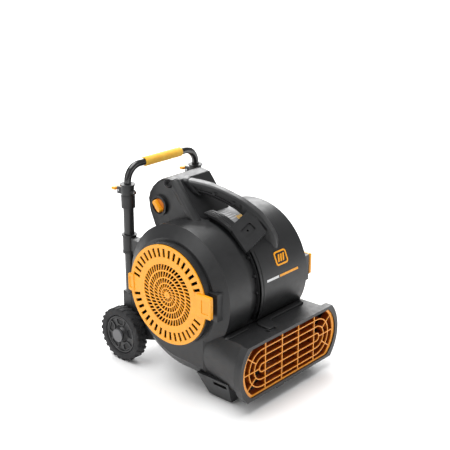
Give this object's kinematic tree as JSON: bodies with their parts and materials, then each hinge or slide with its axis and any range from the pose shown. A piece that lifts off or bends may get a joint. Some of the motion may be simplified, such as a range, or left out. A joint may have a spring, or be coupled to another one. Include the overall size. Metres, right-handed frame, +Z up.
{
  "type": "car dryer blower",
  "caption": "Wheeled centrifugal air blower with a wide grilled outlet, round side intakes, a carry handle and a telescoping trolley handle.",
  "frame": {"origin": "on the floor at the centre of the footprint, with the handle pushed in", "axes": "+Z up, the outlet faces -Y, the fan shaft and the wheel axle run along X, the trolley stands at +Y"},
  "size_m": [0.39, 0.509, 0.5335],
  "materials": {
    "shell": "fine moulded texture",
    "amber": "smooth satin moulding",
    "orange": "smooth satin moulding",
    "black_plastic": "fine satin",
    "gloss_tube": "gloss black enamel",
    "satin_tube": "satin black powder coat",
    "foam": "soft foam",
    "tyre": "matte rubber",
    "hub": "satin",
    "cap": "satin grey",
    "steel": "zinc plated",
    "fan": "satin",
    "motor": "satin black enamel",
    "core": "laminated steel",
    "rubber": "matte",
    "capacitor": "satin"
  },
  "bodies": {
    "housing": {"axle": "steel", "carry_handle": "shell", "clamp_bolts": "steel", "clamp_collar_left": "black_plastic", "clamp_collar_right": "black_plastic", "cord_gland": "rubber", "foot_pad_left": "rubber", "foot_pad_right": "rubber", "handle_cover": "black_plastic", "handle_screws": "steel", "inlet_ring_left": "black_plastic", "inlet_ring_right": "black_plastic", "knob_bezel": "black_plastic", "left_shell": "shell", "lever_pins": "steel", "lower_bracket_left": "black_plastic", "lower_bracket_right": "black_plastic", "mid_bracket_left": "black_plastic", "mid_bracket_right": "black_plastic", "motor_bearings": "steel", "motor_can": "motor", "motor_mount": "motor", "motor_stator": "core", "outer_tube_left": "satin_tube", "outer_tube_right": "satin_tube", "outlet_grille": "orange", "right_shell": "shell", "run_capacitor": "capacitor", "shell_screws": "steel", "speed_switch": "black_plastic"},
    "handle": {"u_handle": "gloss_tube", "foam_grip": "foam", "stem_bushes": "black_plastic"},
    "wheel_left": {"tyre_left": "tyre", "wheel_hub_left": "hub", "hub_cap_left": "cap"},
    "wheel_right": {"tyre_right": "tyre", "wheel_hub_right": "hub", "hub_cap_right": "cap"},
    "fan": {"impeller": "fan", "motor_rotor": "core", "motor_shaft": "steel"},
    "knob": {"speed_knob": "amber", "switch_spindle": "steel"},
    "lever_left": {"clamp_lever_left": "amber"},
    "lever_right": {"clamp_lever_right": "amber"},
    "grille_left": {"intake_grille_left": "amber"},
    "grille_right": {"intake_grille_right": "amber"}
  },
  "joints": [
    {"name": "handle_slide", "type": "slide", "parent": "housing", "child": "handle", "axis": [0, 0, 1], "range_m": [0, 0.272]},
    {"name": "wheel_left_spin", "type": "hinge", "parent": "housing", "child": "wheel_left", "pos_m": [-0.155, 0.182, 0.0725], "axis": [1, 0, 0], "continuous": true},
    {"name": "wheel_right_spin", "type": "hinge", "parent": "housing", "child": "wheel_right", "pos_m": [0.155, 0.182, 0.0725], "axis": [1, 0, 0], "continuous": true},
    {"name": "fan_spin", "type": "hinge", "parent": "housing", "child": "fan", "pos_m": [0, -0.0165, 0.25], "axis": [1, 0, 0], "continuous": true},
    {"name": "knob_turn", "type": "hinge", "parent": "housing", "child": "knob", "pos_m": [-0.09, 0.1005, 0.429], "axis": [1, 0, 0], "range_deg": [0, 120]},
    {"name": "lever_left_open", "type": "hinge", "parent": "housing", "child": "lever_left", "pos_m": [-0.124, 0.205, 0.457], "axis": [1, 0, 0], "range_deg": [-80, 0]},
    {"name": "lever_right_open", "type": "hinge", "parent": "housing", "child": "lever_right", "pos_m": [0.124, 0.205, 0.457], "axis": [1, 0, 0], "range_deg": [-80, 0]},
    {"name": "grille_left_off", "type": "slide", "parent": "housing", "child": "grille_left", "axis": [-1, 0, 0], "range_m": [0, 0.06]},
    {"name": "grille_right_off", "type": "slide", "parent": "housing", "child": "grille_right", "axis": [1, 0, 0], "range_m": [0, 0.06]}
  ]
}
